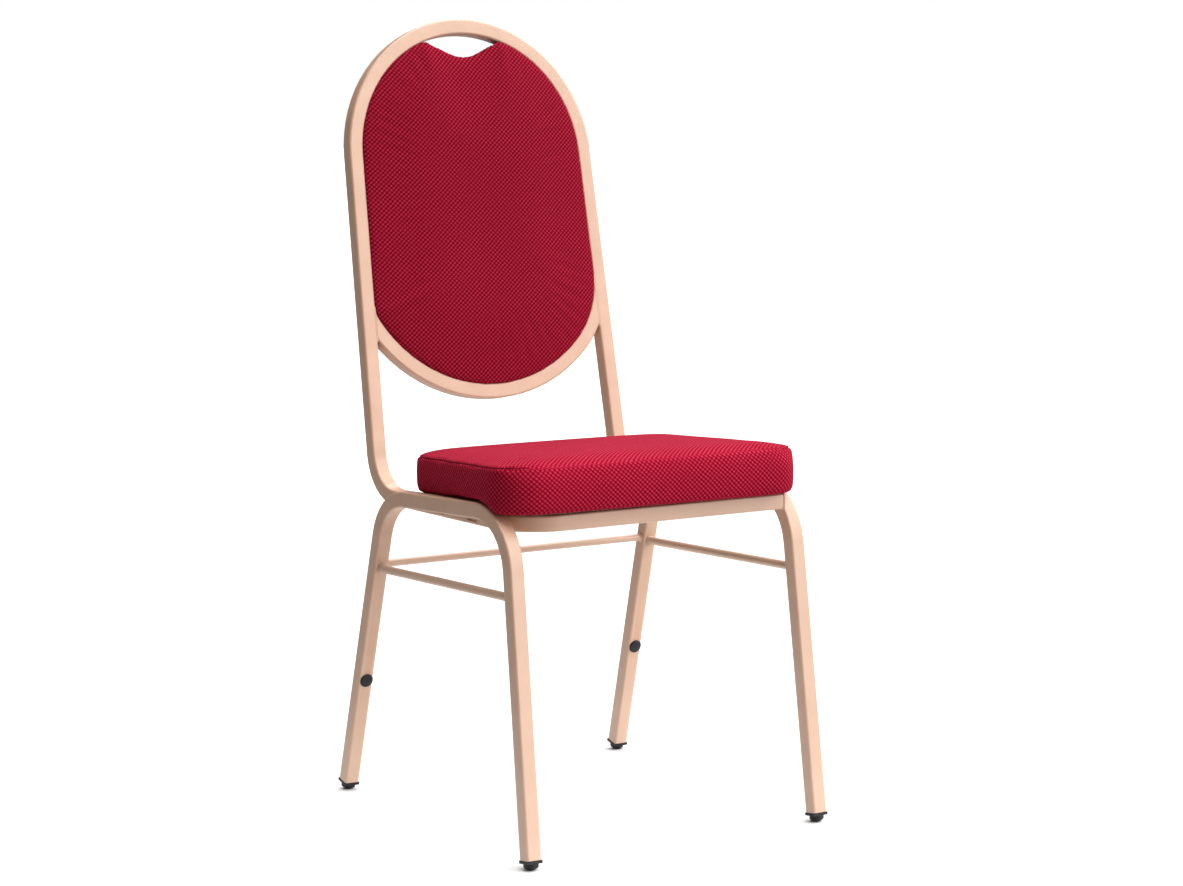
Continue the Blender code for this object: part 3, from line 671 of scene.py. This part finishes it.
def draw_out_tips(local, source, facing):
    """Pulls the cover out to the two sharp tips beside the hand notch, which remeshing rounds off."""
    for side in (-1, 1):
        tip = max((tuple(p) for p in source[source[:, 0] * side > 0.02][:, :2]), key=lambda p: p[1])
        proud = ramped(local[:, 2] * facing, HALF - 0.004, HALF)
        near = (np.linalg.norm(local[:, :2] - tip, axis=1) < 0.012) & (proud > 0.99)
        spot = local[near][local[near][:, 1].argmax(), :2]
        reach = np.linalg.norm(local[:, :2] - spot, axis=1)
        local[:, :2] += (np.array(tip) * 1.006 - spot) * (proud * bell(reach, 0.0045))[:, None]


def make_back_pad(node, name, facing, rim, shoulder, crown):
    """A crowned pad held by its rim in the hoop. facing is 1 for the front pad and -1 for the rear panel."""
    piece = remeshed(node, name, PAD_VOXEL)
    # The pad's cloth is the darker copy of the seat's cloth, with painted shade.
    piece.data.materials[0] = BACK_FABRIC_PAINTED_SHADE
    mesh = piece.data
    source = into(BACK_PLANE, positions(NODES[node].data))
    face = (source[:, 2] * facing).max()
    outline = outline_of(source[np.abs(source[:, 2] * facing - face) < ON_PLANE][:, :2], 260)
    local = into(BACK_PLANE, positions(mesh))
    inside, _, outward = to_outline(local[:, :2], outline)
    out = local[:, 2] * facing
    back = out.min()
    share = np.clip((out - back) / (face - back), 0, 1)
    shape = rim + shoulder * (1 - fading(inside, 0.006)) + crown * domed(inside, 0.110)
    local[:, 2] = facing * (back + share * (shape - back))
    # Its edge presses against the tube and swells over the tube's rounded corner
    swell = ramped(inside, 0.006, 0.0) * (0.0007 + 0.0013 * ramped(share, 0.45, 0.85))
    local[:, :2] += outward * swell[:, None]
    set_positions(mesh, out_of(BACK_PLANE, local))
    smoothed(mesh, 0.35)
    local = into(BACK_PLANE, positions(mesh))
    inside = to_outline(local[:, :2], outline)[0]
    held = np.maximum(np.clip(1 - inside / 0.004, 0, 1), (local[:, 2] * facing < back + 0.003) * 1.0)
    inflate(piece, held, PAD_CAP)
    mesh = subdivided(piece)
    local = into(BACK_PLANE, positions(mesh))
    draw_out_tips(local, source, facing)
    set_positions(mesh, out_of(BACK_PLANE, local))
    turned_out = read(mesh.polygons, "normal", 3) @ np.array(BACK_PLANE)[:3, 2]
    lay_cloth(mesh, local[:, :2], np.abs(turned_out) < 0.45, outline, local[:, 2])


# ---------------------------------------------------------------- welds

def cap_loop(node, toward, count):
    """The edge of a bar's end face, as points round it. toward points out of that face."""
    points = np.unique(np.round(positions(NODES[node].data), 6), axis=0)
    toward = np.array(Vector(toward).normalized())
    reach = points @ toward
    cap = points[reach > reach.max() - END_DEPTH]
    across = np.array(Vector(toward).orthogonal().normalized())
    over = np.cross(toward, across)
    offset = cap - cap.mean(0)
    return resampled(cap[np.argsort(np.arctan2(offset @ over, offset @ across))], count)


def weld_bead(name, loop, radius):
    tube_along(name, loop, radius, "champagne_powder_coat", ripple=0.10)


def dress_arc_joint(side_name, side):
    """Weld ground flush, which fills the groove where the lower arc's faces run into the upright's."""
    normal = np.array((side * math.cos(UPRIGHT_TAPER), math.sin(UPRIGHT_TAPER)))
    points = into(BACK_PLANE, positions(NODES["lower_back_arc"].data))
    reach = points[:, :2] @ normal
    cap = points[reach > reach.max() - 0.0001]
    top, bottom = cap[:, 1].max() + 0.004, cap[:, 1].min() - 0.002
    for where, face in (("front", 1), ("rear", -1)):
        heights = np.linspace(top, bottom, 40)
        across = side * (reach.max() + 0.0011 - heights * normal[1]) / math.cos(UPRIGHT_TAPER)
        depth = np.full(40, face * (HALF - ARC_WELD - 0.00005))
        line = out_of(BACK_PLANE, np.stack([across, heights, depth], 1))
        tube_along(f"weld_lower_arc_{where}_{side_name}", line, ARC_WELD, "champagne_powder_coat",
                   closed=False, sides=20)


def weld_side_rail(side_name, side):
    """Three short beads where the leg frame's top rail meets the hoop's side rail."""
    for where, start in (("front", -0.105), ("middle", -0.030), ("rear", 0.045)):
        height = 0.3668 - 0.016 * (start + 0.2)
        line = [(side * 0.1794, start + 0.0015 * i, height) for i in range(15)]
        tube_along(f"weld_side_rail_{where}_{side_name}", line, SIDE_RAIL_WELD, "champagne_powder_coat",
                   closed=False, ripple=0.12)


def weld_frame():
    for side_name, side in (("left", -1), ("right", 1)):
        for where, y in (("front", -1), ("rear", 1)):
            loop = cap_loop("side_stretcher_" + side_name, (0, y, 0), 30)
            weld_bead(f"weld_side_stretcher_{where}_{side_name}", loop, ROD_WELD)
        loop = cap_loop("rear_stretcher", (side, 0, 0), 30)
        weld_bead(f"weld_rear_stretcher_{side_name}", loop, ROD_WELD)
        loop = cap_loop("rear_crossbar", (side, 0, 0), 60)
        weld_bead(f"weld_rear_crossbar_{side_name}", loop, CROSSBAR_WELD)
        dress_arc_joint(side_name, side)
        weld_side_rail(side_name, side)
    weld_bead("weld_front_rail_right", cap_loop("front_rail", (1, 0, 0), 60), FRONT_RAIL_WELD)


# ---------------------------------------------------------------- floor, light and camera

def make_stage():
    bpy.ops.mesh.primitive_circle_add(vertices=96, radius=24.0, fill_type="NGON", location=(0, 0, 0))
    floor = bpy.context.object
    floor.name = "studio_floor"
    s = Shader("studio_floor", Metallic=0.0, Specular_IOR_Level=0.1)
    where = s.place()
    tone = s.noise(1.5, 3.0, 0.5, where)
    pale = s.ramp(tone, (0.3, (0.90, 0.90, 0.90)), (0.7, (0.93, 0.93, 0.93)))
    seen = s.add("ShaderNodeLightPath").outputs["Is Camera Ray"]
    # The floor looks pale all over, but throws light back mostly around the chair
    away = s.add("ShaderNodeVectorMath", {0: where}, operation="LENGTH").outputs["Value"]
    thrown = s.ramp(away, (0.30, (0.74, 0.74, 0.74)), (0.95, (0.20, 0.20, 0.20)))
    floor.data.materials.append(s.finish(s.blend(seen, thrown, pale), s.spread(tone, 0.75, 0.85)))
    world = bpy.data.worlds.new("studio_world")
    bpy.context.scene.world = world
    world.use_nodes = True
    nodes, links = world.node_tree.nodes, world.node_tree.links
    background = nodes["Background"]
    background.inputs["Color"].default_value = (1.0, 1.0, 1.0, 1.0)
    shown = nodes.new("ShaderNodeMapRange")
    shown.inputs["To Min"].default_value = SKY_STRENGTH
    shown.inputs["To Max"].default_value = 1.0
    links.new(nodes.new("ShaderNodeLightPath").outputs["Is Camera Ray"], shown.inputs["Value"])
    links.new(shown.outputs[0], background.inputs["Strength"])


def broad_light(name, toward, strength, spread):
    """A distant soft light, which lights a white surface that faces it to the given strength.

    toward points from the chair to the light.
    """
    data = bpy.data.lights.new(name, "SUN")
    data.energy = math.pi * strength
    data.angle = math.radians(spread)
    light = bpy.data.objects.new(name, data)
    bpy.context.scene.collection.objects.link(light)
    light.location = Vector(toward) * 3
    light.rotation_euler = Vector(toward).to_track_quat("Z", "Y").to_euler()


def make_lights():
    broad_light("key_light", (0.48, -0.86, 0.18), 0.31, 45.0)
    broad_light("front_fill", (0.25, -0.96, 0.02), 0.22, 60.0)
    broad_light("top_light", (0.52, -0.05, 1.0), 1.88, 100.0)


def make_camera():
    azimuth, elevation, distance = math.radians(-32.254), math.radians(7.551), 3.4676
    target = Vector((0.0141, -0.0419, 0.4347))
    back = Vector((math.sin(azimuth) * math.cos(elevation), -math.cos(azimuth) * math.cos(elevation),
                   math.sin(elevation)))
    data = bpy.data.cameras.new("camera")
    data.lens = 89.92
    data.sensor_width = 36.0
    data.clip_end = 100.0
    camera = bpy.data.objects.new("camera", data)
    bpy.context.scene.collection.objects.link(camera)
    camera.location = target + back * distance
    camera.rotation_euler = back.to_track_quat("Z", "Y").to_euler()
    bpy.context.scene.camera = camera


finish_nodes()
cover_back_board()
make_camera()
make_lights()
make_stage()
make_seat_cushion()
make_back_pad("back_cushion", "back_cushion_cover", facing=1,
              rim=HALF + 0.0002, shoulder=0.0062, crown=0.0060)
make_back_pad("back_rear_panel", "back_rear_cover", facing=-1,
              rim=HALF + 0.0010, shoulder=0.0018, crown=0.0022)
weld_frame()
bpy.context.scene.view_settings.view_transform = "Standard"
